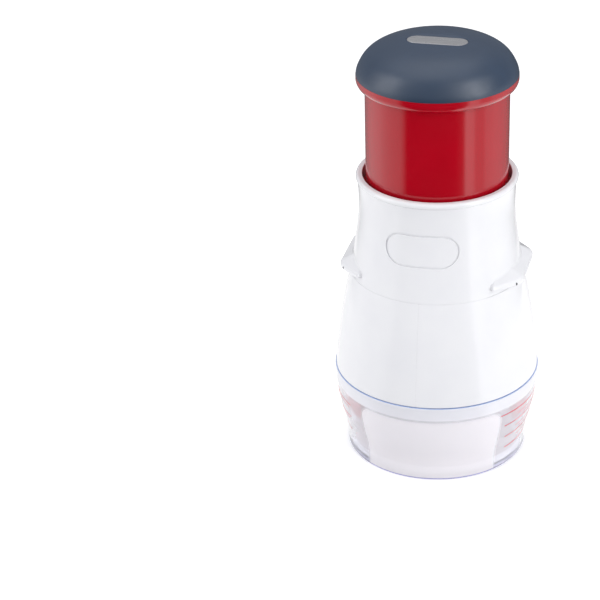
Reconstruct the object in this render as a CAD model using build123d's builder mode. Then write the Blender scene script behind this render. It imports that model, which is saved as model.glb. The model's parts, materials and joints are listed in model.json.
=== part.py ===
from build123d import *
from math import atan2, cos, degrees, radians, sin, sqrt
import os

# Plunger food chopper.  Millimetres, +Z up, the front is -Y, and the origin is the
# centre of the cup's foot on the table.  Everything is drawn at rest: knob up, housing
# closed, head standing in the cup.  The cup's rim sets the radii, from the spigot and
# the blades out to the shells, the neck and the knob; the stroke sets the heights.

# ---------------------------------------------------------------- clearances
move_gap = 0.3          # curved faces that slide or turn past each other
turn_gap = 0.2          # flat faces that turn on each other
bearing_gap = 0.06      # radial, journal in bush and pin in knuckle
fixed_gap = 0.05        # radial, pieces that are fastened together
seam_gap = 0.2          # the fine joint between the housing's mouldings
sweep_gap = 1.0         # room above a piece that comes down at full stroke
overcut = 1.0           # cutters reach this far past the faces they open
diagonal = 45.0         # ribs, keys and frame screws stand between the ears
diagonal_count = 4

# ---------------------------------------------------------------- main sizes
cup_rim_r = 52.3
cup_height = 45.4
cup_foot_r = 46.2
travel = 40.0           # stroke of the knob
index_angle = 45.0      # turn of the blades for one stroke
shell_open = 40.0       # swing of each half of the housing

# ---------------------------------------------------------------- cup
cup_foot_round = 1.6
cup_recess = 0.8        # hollow under the foot
cup_recess_in = 5.2     # from the foot's edge to the hollow
cup_floor = 2.4
cup_skirt = 8.0         # height of the straight lower wall
cup_flare = (0.75, 5.2)  # out from the foot, up from the skirt
cup_waist = (2.2, 10.6)  # out from the foot, up from the skirt
cup_belly = (1.3, 14.4)  # in from the rim, down from the rim
cup_rim_round = 0.5
cup_wall = 2.1
cup_rim_wall = 2.4      # outside the socket in which the head stands
cup_thickening = 0.9    # the wall grows towards the ledge
cup_socket_depth = 7.9
cup_ledge = 1.5         # width of the ledge that carries the head
disc_thickness = 3.2
disc_round = 0.8

cup_floor_z = cup_recess + cup_floor
cup_ledge_z = cup_height - cup_socket_depth
cup_socket_r = cup_rim_r - cup_rim_wall
cup_ledge_r = cup_socket_r - cup_ledge
flare_at = (cup_foot_r + cup_flare[0], cup_skirt + cup_flare[1])
waist_at = (cup_foot_r + cup_waist[0], cup_skirt + cup_waist[1])
belly_at = (cup_rim_r - cup_belly[0], cup_height - cup_belly[1])
disc_r = cup_foot_r - cup_wall - 2 * move_gap
disc_top = cup_floor_z + disc_thickness

# ---------------------------------------------------------------- base ring and wiper
spigot_gap = 1.0        # from the spigot to the cup's socket, filled by the keys
key_width = 3.0
key_gap = 0.25
key_lead = 1.0          # from the ring's lower face to the keys
ring_wall = 2.6
ring_ledge = 2.0        # carries the wiper
ring_ledge_height = 3.2
ring_boss = 3.1         # the bosses stand this far in from the ledge
ring_step = 0.2         # the ring is this much slimmer above the cup
ring_rise = 4.6         # from the cup's rim to the ring's top
arm_foot = 3.0
wiper_flange = 2.0
wiper_skin = 2.0
wiper_sag = 12.5        # how far the middle hangs below the flange
wiper_engage = 2.5      # blades stay this deep in their channels at rest
slot_gap = 0.4          # each side of the blade
channel_wall = 1.2

ring_bottom = cup_ledge_z
ring_top = cup_height + ring_rise
spigot_r = cup_socket_r - spigot_gap
ring_bore_r = spigot_r - ring_wall
ring_ledge_r = ring_bore_r - ring_ledge
ring_ledge_z = ring_bottom + ring_ledge_height
ring_boss_r = ring_ledge_r - ring_boss
wiper_z = ring_ledge_z + turn_gap
wiper_r = ring_bore_r - move_gap
wiper_dome_r = ring_ledge_r - move_gap
boss_bottom = wiper_z + wiper_flange + move_gap

# ---------------------------------------------------------------- blades
blade_thickness = 0.8
blade_room = 4.2        # from the ring's bosses in to the circle of the folds
blade_end = 4.0         # from the circle of the folds in to the outermost ones
fold_count = 7
blade_set = 3.5         # depth moulded into the carrier
blade_bevel = 0.3
blade_stop = 0.6        # above the chopping disc at full stroke
blade_margin = 1.2      # from the circle of the folds to the carrier's edge
carrier_thickness = 4.5
carrier_boss_r = 9.6
carrier_round = 1.2
bump_r = (12.0, 15.5)
bump_height = 1.1

blade_circle_r = ring_boss_r - blade_room
blade_pitch = 2 * (blade_circle_r - blade_end) / (fold_count - 1)
blade_low = disc_top + blade_stop + travel
channel_top = blade_low + wiper_engage
carrier_r = blade_circle_r + blade_margin
carrier_bottom = channel_top + sweep_gap + travel
carrier_top = carrier_bottom + carrier_thickness
bump_top = carrier_top + bump_height

# ---------------------------------------------------------------- frame and shells
frame_disc = 3.4
frame_hole_r = 10.6
arm_gap = 0.8           # from the arm to the closed shell
arm_thickness = 2.2
arm_angle = 16.0        # half the arm's width, seen from above
shell_wall = 2.4
shell_bulge = 1.07
shell_inset = 0.55      # from the cup's rim in to the shells
shell_lift = 0.5        # from the cup's rim up to the shells
lap_width = 1.2         # the two shells overlap by this much, front and back
lap_skin = 1.05         # thickness of the outer wall over the lap

frame_bottom = bump_top + turn_gap
seam_z = frame_bottom + frame_disc      # joint between the upper housing and the shells
seam_r = carrier_r + arm_thickness + arm_gap + shell_wall
frame_disc_r = seam_r - shell_wall - arm_gap
shell_foot_r = cup_rim_r - shell_inset
shell_bottom = cup_height + shell_lift
ring_upper_r = shell_foot_r - shell_wall - arm_gap - ring_step
carrier_boss_top = seam_z - 2 * turn_gap

# ---------------------------------------------------------------- sleeve in its bore
floor_thickness = 2.5
bore_inset = 6.6        # from the seam in to the bore
sleeve_gap = 1.7        # from the bore to the sleeve
sleeve_wall = 2.0
sleeve_floor_gap = 1.3  # above the housing's floor at full stroke
sleeve_guide = 8.1      # length that stays in the mouth at rest
bead_height = 3.0
bead_blend = 1.0
rib_width = 3.0         # guide ribs in the bore
rib_height = 1.2
rib_drop = 4.6          # from the rim to the ribs

floor_top = seam_z + floor_thickness
bore_r = seam_r - bore_inset
sleeve_r = bore_r - sleeve_gap
bead_r = bore_r - move_gap
sleeve_bottom = floor_top + travel + sleeve_floor_gap

# ---------------------------------------------------------------- upper housing
neck_curve = ((5.4, 6.5), (3.85, 16.5), (2.6, 25.5), (1.95, 34.5))  # out from the bore, up from the seam
rim_foot = (2.35, 3.0)  # out from the bore, down from the rim
rim_wall = 3.2          # rolled edge round the mouth
rim_round = 1.3
mouth_round = 0.4       # inner edge of the mouth
groove_walls = (1.8, 2.8)  # left inside and outside the groove that cores out the lower rim
groove_depth = 6.5
badge_length = 36.5     # oval outline on the front
badge_height = 17.0
badge_rise = 26.3       # from the seam to its middle
badge_line = 0.9
badge_depth = 0.6

rim_r = bore_r + rim_wall
rim_z = sleeve_bottom + sleeve_guide
neck = [(bore_r + out, seam_z + up) for out, up in neck_curve]
neck_line = [(seam_r, seam_z), *neck, (bore_r + rim_foot[0], rim_z - rim_foot[1])]

# ---------------------------------------------------------------- hinge ears
hinge_inset = 0.4       # from the seam in to the hinge pins
hinge_rise = 3.0        # from the seam up to the hinge pins
ear_lift = 1.4          # from the seam to the ear's lower edge
ear_reach = 3.05        # from the seam out to the ear's flat face
ear_flank = 1.5         # from the seam out to its flanks
ear_turn = 43.3         # angle from its face to its flanks
ear_end = 41.0          # angle from the hinge side at which it ends
ear_root = 30.0         # in from the seam, where the bore cuts it off
ear_corner_round = 9.3
ear_lip = 1.0           # bevelled lower edge
ear_lip_draft = 58.0
ear_band = 1.7          # upright part
ear_shoulder = 1.0
ear_shoulder_draft = 30.0
ear_cap = 4.4
ear_cap_draft = 60.0
ear_rounds = (0.6, 0.8, 1.5)  # of the edges between these parts, from below
ear_beak = (19.0, 2.2)  # half the level width of its lower edge, and its rise at the ends
ear_blend = 1.5         # between the ear's top and the neck
ear_blend_rise = 6.5    # from the seam up to the lowest blended edge
pin_r = 1.1
pin_reach = 18.4
knuckle_r = 1.95
knuckle_half = 8.5
knuckle_side_gap = 0.35
knuckle_web_x = -0.2    # outer face of the knuckle's web, from the pin

hinge_x = seam_r - hinge_inset
hinge_z = seam_z + hinge_rise
ear_base_z = seam_z + ear_lift
ear_x = seam_r + ear_reach
ear_flank_r = seam_r + ear_flank
ear_corner_y = (ear_flank_r - ear_x * cos(radians(ear_turn))) / sin(radians(ear_turn))
ear_end_r = ear_flank_r / cos(radians(ear_turn - ear_end))
ear_end_at = (ear_end_r * cos(radians(ear_end)), ear_end_r * sin(radians(ear_end)))

# ---------------------------------------------------------------- drive
shaft_side = 6.0
shaft_hole_r = 5.6
nut_gap = 0.12          # from the nut's bore to the shaft's flats
nut_height = 3.9
nut_r = 7.6
pawl_r = 9.1
pawl_start = 2.0        # from the +X axis to the pawl's edge
pawl_angle = 14.0
pawl_slit = (5.2, 0.6)  # frees the pawl's arm from the nut
pawl_slit_at = (6.3, 3.2)
pawl_slit_tilt = 12.0
pawl_count = 2
ratchet_teeth = 16
tooth_share = 0.97      # of the pitch, from a tooth's face to the next tip
ratchet_tip_r = 8.3
ratchet_root_r = 9.4
hub_bore_r = 12.0
hub_wall = 2.2
ratchet_height = 4.5
cover_plug = 2.2
cover_plate = 1.8
cover_round = 0.6
collar_r = 5.5
thrust_washer = 1.0
thrust_step = 1.5       # the thrust ring is this much slimmer than the core's tube
journal_r = 3.5
bush_r = 5.0
bush_length = 8.0
core_tube_r = 8.5

nut_bottom = floor_top + turn_gap
twist_rate = index_angle / travel
cover_z = floor_top + ratchet_height + cover_plug
cover_top = cover_z + cover_plate
twist_top = nut_bottom + nut_height + travel + sweep_gap
collar_top = cover_top + travel + sweep_gap / 2
core_tube_bottom = collar_top + thrust_washer + turn_gap

# ---------------------------------------------------------------- knob
flange_gap = 5.3        # above the rim at full stroke
flange_out = 4.3        # from the sleeve out to the flange
flange_corner = (3.0, 0.8)  # in from the flange's side, up from its foot
flange_curve = (0.75, 2.4)
flange_shoulder = 4.5   # from the flange's foot to its straight side
flange_height = 6.6     # from the flange's foot to the knob's seam
flange_wall = 2.2
ledge_in = 5.3          # from the sleeve in to the ledge under the knob
ledge_thickness = 2.2
knob_bulge = 0.27       # the dome is this much wider than the flange
knob_rise = 23.6
knob_roundness = 2.91   # exponent of the dome's outline
knob_lean = 0.04        # run to rise of the dome's side where it meets the sleeve
knob_wall = 3.0
knob_steps = 7
inlay_length = 30.0
inlay_width = 10.2
inlay_sink = 0.6        # from the top of the dome down to the inlay
inlay_thickness = 0.8
inlay_bevel = 0.25
dish_draft = 76.0       # slope of the dish round the inlay
core_disc = 2.5
core_lift = 1.9         # from the flange's foot to the top of the core's disc
core_screw_inset = 11.3  # from the sleeve in to the core's screws
core_screw_count = 3
core_screw_start = 90.0
core_boss_r = 3.5

flange_r = sleeve_r + flange_out
flange_z = rim_z + travel + flange_gap
knob_seam_z = flange_z + flange_height
knob_r = flange_r + knob_bulge
knob_centre_z = flange_z
ledge_r = sleeve_r - ledge_in
core_screw_circle_r = sleeve_r - core_screw_inset
core_z = flange_z + core_lift
core_bottom = core_z - core_disc
inlay_z = knob_centre_z + knob_rise - inlay_sink

# ---------------------------------------------------------------- spring and screws
spring_r = 16.2
spring_wire_r = 0.8
spring_turns = 8
screw_r = 1.25
screw_head_r = 2.6
screw_head = 2.0
screw_length = 9.0
floor_boss_r = 3.4
floor_boss = 8.0
frame_screw_inset = 13.0  # from the bore in to the frame's screws
frame_screw_circle_r = bore_r - frame_screw_inset
foot_screw_r = 1.1
foot_screw_head_r = 2.0
foot_screw_head = 1.6
foot_screw_length = 6.0
foot_screw_inset = 2.3  # from the bosses' inner faces
foot_screw_angle = 9.5
shaft_screw_r = 1.5
shaft_screw_head_r = 3.2
shaft_screw_length = 9.0
washer_r = 6.8
washer = 1.0

foot_screw_circle_r = ring_boss_r + foot_screw_inset


# ================================================================ shared outlines
def shell_arc(inset, rising=True):
    """Side of the closed shells, moved inwards by inset."""
    low = (shell_foot_r - inset, shell_bottom)
    high = (seam_r - inset, seam_z)
    if rising:
        return SagittaArc(low, high, -shell_bulge)
    return SagittaArc(high, low, shell_bulge)


def shell_section(near, far):
    """Half section of the closed shells' wall, from one depth to another."""
    with BuildSketch(Plane.XZ) as section:
        with BuildLine():
            outer = shell_arc(near)
            inner = shell_arc(far, rising=False)
            Line(outer @ 1, inner @ 0)
            Line(inner @ 1, outer @ 0)
        make_face()
    return section.sketch


def sector_pair(half_angle, reach):
    """Two wedges, along +X and -X, in the sketch in hand."""
    across = reach * sin(radians(half_angle))
    along = reach * cos(radians(half_angle))
    for side in (1, -1):
        Polygon((0, 0), (side * along, -side * across), (side * along, side * across), align=None)


def fold_points():
    """Corners of the blade's zigzag, seen from above, one after another."""
    points = []
    for index in range(fold_count):
        x = (index - (fold_count - 1) / 2) * blade_pitch
        y = sqrt(blade_circle_r**2 - x**2)
        points.append((x, y if index % 2 else -y))
    return points


def zigzag(width):
    """The blade's folded outline with the given thickness, in the sketch in hand."""
    corners = fold_points()
    for start, end in zip(corners, corners[1:]):
        run_x, run_y = end[0] - start[0], end[1] - start[1]
        with Locations(((start[0] + end[0]) / 2, (start[1] + end[1]) / 2)):
            Rectangle(sqrt(run_x**2 + run_y**2), width, rotation=degrees(atan2(run_y, run_x)))
    with Locations(*corners):
        Circle(width / 2)


def dome_points(radius, rise):
    """Outline of the knob from its top down to the seam, as a superellipse."""
    seam_share = (knob_seam_z - knob_centre_z) / rise
    lowest = (1 - seam_share**knob_roundness) ** (1 / knob_roundness)
    points = []
    for step in range(knob_steps + 1):
        share = lowest * sin(radians(90 * step / knob_steps))
        height = (1 - share**knob_roundness) ** (1 / knob_roundness)
        points.append((radius * share, knob_centre_z + rise * height))
    return points


def dome_section(radius, rise):
    """Half section of the knob's dome above its seam."""
    points = dome_points(radius, rise)
    with BuildSketch(Plane.XZ) as section:
        with BuildLine():
            Spline(*points, tangents=[(1, 0), (knob_lean, -1)])
            Polyline(points[-1], (0, knob_seam_z), points[0])
        make_face()
    return section.sketch


def screws(head_z, pointing, shank_r, shank, head_r, head):
    """Pan-head screws at the locations in hand; pointing is +1 for shanks that go up."""
    low = head_z - head if pointing > 0 else head_z
    with Locations((0, 0, low)):
        Cylinder(head_r, head, align=(Align.CENTER, Align.CENTER, Align.MIN))
    with Locations((0, 0, head_z if pointing > 0 else head_z - shank)):
        Cylinder(shank_r, shank, align=(Align.CENTER, Align.CENTER, Align.MIN))
    drive = head / 2
    with Locations((0, 0, low if pointing > 0 else low + head - drive)):
        for turn in (0, 90):
            Box(
                head_r,
                head_r / 4,
                drive,
                rotation=(0, 0, turn),
                align=(Align.CENTER, Align.CENTER, Align.MIN),
                mode=Mode.SUBTRACT,
            )


def finish(builder, label):
    """Names a finished piece and writes its STEP file."""
    builder.part.label = label
    export_step(builder.part, f"parts/{label}.step")


os.makedirs("parts", exist_ok=True)

# ================================================================ cup
with BuildPart() as clear_cup:
    with BuildSketch(Plane.XZ):
        with BuildLine():
            Polyline(
                (0, cup_floor_z),
                (0, cup_recess),
                (cup_foot_r - cup_recess_in, cup_recess),
                (cup_foot_r - cup_recess_in + cup_recess, 0),
                (cup_foot_r - cup_foot_round, 0),
            )
            RadiusArc((cup_foot_r - cup_foot_round, 0), (cup_foot_r, cup_foot_round), -cup_foot_round)
            Line((cup_foot_r, cup_foot_round), (cup_foot_r, cup_skirt))
            ThreePointArc((cup_foot_r, cup_skirt), flare_at, waist_at)
            ThreePointArc(waist_at, belly_at, (cup_rim_r, cup_height))
            Polyline(
                (cup_rim_r, cup_height),
                (cup_socket_r, cup_height),
                (cup_socket_r, cup_ledge_z),
                (cup_ledge_r, cup_ledge_z),
            )
            inner_waist = (waist_at[0] - cup_wall, waist_at[1])
            inner_belly = (belly_at[0] - cup_wall - cup_thickening, belly_at[1])
            inner_flare = (flare_at[0] - cup_wall, flare_at[1])
            ThreePointArc((cup_ledge_r, cup_ledge_z), inner_belly, inner_waist)
            ThreePointArc(inner_waist, inner_flare, (cup_foot_r - cup_wall, cup_skirt))
            Polyline(
                (cup_foot_r - cup_wall, cup_skirt),
                (cup_foot_r - cup_wall, cup_floor_z),
                (0, cup_floor_z),
            )
        make_face()
    revolve(axis=Axis.Z)
    rim_edges = clear_cup.edges().filter_by(GeomType.CIRCLE).group_by(Axis.Z)[-1]
    fillet(rim_edges, cup_rim_round)
finish(clear_cup, "clear_cup")

with BuildPart() as chopping_disc:
    with BuildSketch(Plane.XY.offset(cup_floor_z)):
        Circle(disc_r)
    extrude(amount=disc_thickness)
    fillet(chopping_disc.edges().group_by(Axis.Z)[-1], disc_round)
finish(chopping_disc, "chopping_disc")

# ================================================================ upper housing
with BuildPart() as housing_outside:
    with BuildSketch(Plane.XZ):
        with BuildLine():
            Line((0, seam_z), (seam_r, seam_z))
            Spline(*neck_line)
            ThreePointArc(neck_line[-1], (rim_r, rim_z - rim_round), (rim_r - rim_round, rim_z))
            Polyline((rim_r - rim_round, rim_z), (0, rim_z), (0, seam_z))
        make_face()
    revolve(axis=Axis.Z)


def badge_groove():
    """Oval line sunk into the front of the neck."""
    with BuildPart() as cutter:
        with BuildSketch(Plane.XZ.offset(rim_r + badge_depth)):
            with Locations((0, seam_z + badge_rise)):
                SlotOverall(badge_length, badge_height)
                SlotOverall(badge_length - 2 * badge_line, badge_height - 2 * badge_line, mode=Mode.SUBTRACT)
        extrude(amount=-rim_r)
        with BuildSketch(Plane.XZ):
            with BuildLine():
                inset = [(r - badge_depth, z) for r, z in neck_line]
                Spline(*inset)
                Polyline(inset[-1], (0, inset[-1][1]), (0, seam_z), inset[0])
            make_face()
        revolve(axis=Axis.Z, mode=Mode.SUBTRACT)
    return cutter.part


def ear():
    """One hinge hood, on the +X side, before it is hollowed."""
    lip_z = ear_base_z + ear_lip
    with BuildPart() as hood:
        with BuildSketch(Plane.XY.offset(lip_z)):
            with BuildLine():
                Polyline(
                    (ear_x, -ear_corner_y),
                    (ear_x, ear_corner_y),
                    ear_end_at,
                    (seam_r - ear_root, ear_end_at[1] / 2),
                    (seam_r - ear_root, -ear_end_at[1] / 2),
                    (ear_end_at[0], -ear_end_at[1]),
                    close=True,
                )
            outline = make_face()
            fillet(outline.vertices().group_by(Axis.X)[-1], ear_corner_round)
        extrude(amount=ear_band)
        extrude(hood.faces().sort_by(Axis.Z)[-1], amount=ear_shoulder, taper=ear_shoulder_draft)
        extrude(hood.faces().sort_by(Axis.Z)[-1], amount=ear_cap, taper=ear_cap_draft)
        extrude(hood.faces().sort_by(Axis.Z)[0], amount=ear_lip, taper=ear_lip_draft)
        for edge_z, rounding in zip((lip_z, lip_z + ear_band, lip_z + ear_band + ear_shoulder), ear_rounds):
            outer = hood.edges().filter_by_position(Axis.Z, edge_z, edge_z).filter_by_position(
                Axis.X, ear_end_at[0] - ear_cap, ear_x
            )
            fillet(outer, rounding)
        # the lower edge rises to a beak at each end
        with BuildSketch(Plane.YZ):
            for side in (1, -1):
                Polygon(
                    (side * ear_beak[0], ear_base_z),
                    (side * ear_end_at[1], ear_base_z + ear_beak[1]),
                    (side * ear_end_at[1], ear_base_z - overcut),
                    (side * ear_beak[0], ear_base_z - overcut),
                    align=None,
                )
        extrude(amount=ear_x, mode=Mode.SUBTRACT)
    return hood.part


right_ear = ear()
left_ear = right_ear.mirror(Plane.YZ)
badge_cutter = badge_groove()

# what a shell takes up when it stands open, with room all round
with BuildPart() as open_space:
    revolve(shell_section(-move_gap, shell_wall + move_gap), axis=Axis.Z)
    split(bisect_by=Plane.YZ, keep=Keep.TOP)
    web_outer = hinge_x + knuckle_web_x + move_gap
    with BuildSketch(Plane.XZ.offset(-knuckle_half - knuckle_side_gap)):
        Polygon(
            (hinge_x - knuckle_r, hinge_z),
            (web_outer, hinge_z),
            (web_outer, seam_z - shell_wall),
            (hinge_x - knuckle_r, seam_z - shell_wall),
            align=None,
        )
    extrude(amount=2 * (knuckle_half + knuckle_side_gap))

right_space = open_space.part.rotate(Axis((hinge_x, 0, hinge_z), (0, -1, 0)), shell_open)
left_space = right_space.mirror(Plane.YZ)

with BuildPart() as eared_neck:
    add(housing_outside.part)
    add(right_ear)
    add(left_ear)
    meeting = new_edges(housing_outside.part, right_ear, left_ear, combined=eared_neck.part)
    fillet(meeting.filter_by(lambda edge: edge.center().Z > seam_z + ear_blend_rise), ear_blend)

with BuildPart() as upper_housing:
    add(eared_neck.part)
    add(badge_cutter, mode=Mode.SUBTRACT)
    with BuildSketch(Plane.XZ):
        with BuildLine():
            Polyline((0, rim_z), (0, floor_top), (bore_r, floor_top), (bore_r, rim_z - mouth_round))
            RadiusArc((bore_r, rim_z - mouth_round), (bore_r + mouth_round, rim_z), mouth_round)
            Line((bore_r + mouth_round, rim_z), (0, rim_z))
        make_face()
    revolve(axis=Axis.Z, mode=Mode.SUBTRACT)
    # guide ribs for the sleeve
    with BuildSketch(Plane.XY.offset(floor_top)):
        with PolarLocations(bore_r, diagonal_count, start_angle=diagonal):
            Rectangle(2 * rib_height, rib_width)
    extrude(amount=rim_z - rib_drop - floor_top)
    # hub that holds the ratchet, and bosses for the frame's screws
    with BuildSketch(Plane.XY.offset(floor_top)):
        Circle(hub_bore_r + hub_wall)
        Circle(hub_bore_r, mode=Mode.SUBTRACT)
    extrude(amount=ratchet_height + cover_plug)
    with BuildSketch(Plane.XY.offset(floor_top)):
        with PolarLocations(frame_screw_circle_r, diagonal_count, start_angle=diagonal):
            Circle(floor_boss_r)
    extrude(amount=floor_boss)
    with BuildSketch(Plane.XY.offset(seam_z)):
        with PolarLocations(frame_screw_circle_r, diagonal_count, start_angle=diagonal):
            Circle(screw_r + fixed_gap)
    extrude(amount=screw_length - frame_disc + screw_head + fixed_gap, mode=Mode.SUBTRACT)
    with BuildSketch(Plane.XY.offset(seam_z)):
        Circle(shaft_hole_r)
    extrude(amount=floor_thickness, mode=Mode.SUBTRACT)
    # groove that cores out the thick lower rim
    with BuildSketch(Plane.XY.offset(seam_z)):
        Circle(seam_r - groove_walls[1])
        Circle(bore_r + groove_walls[0], mode=Mode.SUBTRACT)
    extrude(amount=groove_depth, mode=Mode.SUBTRACT)
    # pockets for the shells' knuckles, room for their open walls, and the pins' holes
    pocket_r = knuckle_r + move_gap
    pocket_half = knuckle_half + knuckle_side_gap
    for side in (1, -1):
        with BuildSketch(Plane.XZ.offset(-pocket_half)):
            with Locations((side * hinge_x, hinge_z)):
                Circle(pocket_r)
            Polygon(
                (side * (hinge_x - pocket_r), hinge_z),
                (side * (hinge_x - pocket_r), seam_z - overcut),
                (side * (hinge_x + pocket_r), seam_z - overcut),
                (side * (hinge_x + pocket_r), hinge_z),
                align=None,
            )
        extrude(amount=2 * pocket_half, mode=Mode.SUBTRACT)
        with BuildSketch(Plane.XZ.offset(-pin_reach - overcut)):
            with Locations((side * hinge_x, hinge_z)):
                Circle(pin_r + fixed_gap)
        extrude(amount=2 * (pin_reach + overcut), mode=Mode.SUBTRACT)
    add(right_space, mode=Mode.SUBTRACT)
    add(left_space, mode=Mode.SUBTRACT)
finish(upper_housing, "upper_housing")

with BuildPart() as hinge_pins:
    with BuildSketch(Plane.XZ.offset(-pin_reach)):
        with Locations((hinge_x, hinge_z), (-hinge_x, hinge_z)):
            Circle(pin_r)
    extrude(amount=2 * pin_reach)
finish(hinge_pins, "hinge_pins")

# ================================================================ swinging shells
with BuildPart() as lap_tongue:
    revolve(shell_section(lap_skin + move_gap, shell_wall), axis=Axis.Z)
    split(bisect_by=Plane.YZ.offset(-lap_width), keep=Keep.TOP)
    split(bisect_by=Plane.YZ.offset(shell_wall), keep=Keep.BOTTOM)
    split(bisect_by=Plane.XZ, keep=Keep.TOP)

with BuildPart() as lap_rebate:
    revolve(shell_section(lap_skin, shell_wall + overcut), axis=Axis.Z)
    split(bisect_by=Plane.YZ.offset(lap_width + seam_gap), keep=Keep.BOTTOM)
    split(bisect_by=Plane.YZ, keep=Keep.TOP)
    split(bisect_by=Plane.XZ, keep=Keep.BOTTOM)

with BuildPart() as shell_right:
    revolve(shell_section(0, shell_wall), axis=Axis.Z)
    split(bisect_by=Plane.YZ.offset(seam_gap / 2), keep=Keep.TOP)
    add(lap_tongue.part)
    add(lap_rebate.part, mode=Mode.SUBTRACT)
    split(bisect_by=Plane.XY.offset(seam_z - seam_gap), keep=Keep.BOTTOM)
    with BuildSketch(Plane.XZ.offset(-knuckle_half)):
        with Locations((hinge_x, hinge_z)):
            Circle(knuckle_r)
        with BuildLine():
            Polyline(
                (hinge_x - knuckle_r, hinge_z),
                (hinge_x + knuckle_web_x, hinge_z),
                (hinge_x + knuckle_web_x, seam_z - shell_wall),
                (seam_r - 2 * shell_wall / 3, seam_z - shell_wall),
                (hinge_x - knuckle_r, seam_z - arm_gap),
                close=True,
            )
        make_face()
    extrude(amount=2 * knuckle_half)
    with BuildSketch(Plane.XZ.offset(-knuckle_half)):
        with Locations((hinge_x, hinge_z)):
            Circle(pin_r + bearing_gap)
    extrude(amount=2 * knuckle_half, mode=Mode.SUBTRACT)
finish(shell_right, "shell_right")

with BuildPart() as shell_left:
    add(shell_right.part.rotate(Axis.Z, 180))
finish(shell_left, "shell_left")

# ================================================================ blade frame
with BuildPart() as blade_frame:
    revolve(shell_section(shell_wall + arm_gap, shell_wall + arm_gap + arm_thickness), axis=Axis.Z)
    with BuildSketch(Plane.XY.offset(ring_top)):
        Circle(ring_upper_r)
        Circle(ring_boss_r, mode=Mode.SUBTRACT)
    extrude(amount=arm_foot)
    split(bisect_by=Plane.XY.offset(ring_top), keep=Keep.TOP)
    split(bisect_by=Plane.XY.offset(seam_z), keep=Keep.BOTTOM)
    with BuildSketch(Plane.XY.offset(ring_top)):
        sector_pair(arm_angle, 2 * shell_foot_r)
    extrude(amount=seam_z - ring_top, mode=Mode.INTERSECT)
    with BuildSketch(Plane.XY.offset(frame_bottom)):
        Circle(frame_disc_r)
    extrude(amount=frame_disc)
    with BuildSketch(Plane.XY.offset(frame_bottom)):
        Circle(frame_hole_r)
        with PolarLocations(frame_screw_circle_r, diagonal_count, start_angle=diagonal):
            Circle(screw_r + fixed_gap)
    extrude(amount=frame_disc, mode=Mode.SUBTRACT)
    with BuildSketch(Plane.XY.offset(frame_bottom)):
        with PolarLocations(frame_screw_circle_r, diagonal_count, start_angle=diagonal):
            Circle(screw_head_r + 2 * fixed_gap)
    extrude(amount=screw_head, mode=Mode.SUBTRACT)
    with BuildSketch(Plane.XY.offset(ring_top)):
        with PolarLocations(foot_screw_circle_r, 2, start_angle=foot_screw_angle):
            Circle(foot_screw_r + fixed_gap)
        with PolarLocations(foot_screw_circle_r, 2, start_angle=-foot_screw_angle):
            Circle(foot_screw_r + fixed_gap)
    extrude(amount=arm_foot, mode=Mode.SUBTRACT)
finish(blade_frame, "blade_frame")

with BuildPart() as ring_bosses:
    with BuildSketch(Plane.XY.offset(boss_bottom)):
        Circle(ring_upper_r)
        Circle(ring_boss_r, mode=Mode.SUBTRACT)
    extrude(amount=ring_top - boss_bottom)
    with BuildSketch(Plane.XY.offset(boss_bottom)):
        sector_pair(arm_angle, 2 * shell_foot_r)
    extrude(amount=ring_top - boss_bottom, mode=Mode.INTERSECT)

with BuildPart() as base_ring:
    with BuildSketch(Plane.XY.offset(ring_bottom)):
        Circle(spigot_r)
    extrude(amount=cup_height - ring_bottom)
    with BuildSketch(Plane.XY.offset(cup_height)):
        Circle(ring_upper_r)
    extrude(amount=ring_top - cup_height)
    with BuildSketch(Plane.XY.offset(ring_bottom)):
        Circle(ring_ledge_r)
    extrude(amount=ring_top - ring_bottom, mode=Mode.SUBTRACT)
    with BuildSketch(Plane.XY.offset(ring_ledge_z)):
        Circle(ring_bore_r)
    extrude(amount=ring_top - ring_ledge_z, mode=Mode.SUBTRACT)
    # bosses that carry the arms and keep the wiper in
    add(ring_bosses.part)
    with BuildSketch(Plane.XY.offset(ring_top)):
        with PolarLocations(foot_screw_circle_r, 2, start_angle=foot_screw_angle):
            Circle(foot_screw_r + fixed_gap)
        with PolarLocations(foot_screw_circle_r, 2, start_angle=-foot_screw_angle):
            Circle(foot_screw_r + fixed_gap)
    extrude(amount=arm_foot - foot_screw_length - fixed_gap, mode=Mode.SUBTRACT)
    # keys that take up the play in the cup's socket
    with BuildSketch(Plane.XY.offset(ring_bottom + key_lead)):
        with PolarLocations(spigot_r, diagonal_count, start_angle=diagonal):
            Rectangle(2 * (spigot_gap - key_gap), key_width)
    extrude(amount=cup_height - cup_rim_round - ring_bottom - key_lead)
finish(base_ring, "base_ring")

with BuildPart() as frame_screws:
    with PolarLocations(frame_screw_circle_r, diagonal_count, start_angle=diagonal):
        screws(frame_bottom + screw_head, 1, screw_r, screw_length, screw_head_r, screw_head)
finish(frame_screws, "frame_screws")

with BuildPart() as ring_screws:
    for angle in (foot_screw_angle, -foot_screw_angle):
        with PolarLocations(foot_screw_circle_r, 2, start_angle=angle):
            screws(
                ring_top + arm_foot,
                -1,
                foot_screw_r,
                foot_screw_length,
                foot_screw_head_r,
                foot_screw_head,
            )
finish(ring_screws, "ring_screws")

# ================================================================ wiper
sphere_r = (wiper_dome_r**2 + wiper_sag**2) / (2 * wiper_sag)
centre_z = wiper_z - wiper_sag + sphere_r

with BuildPart() as wiper_channels:
    with BuildSketch(Plane.XY.offset(wiper_z - wiper_sag)):
        zigzag(blade_thickness + 2 * slot_gap + 2 * channel_wall)
    extrude(amount=channel_top - wiper_z + wiper_sag)
    with Locations((0, 0, centre_z)):
        Sphere(sphere_r, mode=Mode.INTERSECT)

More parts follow.
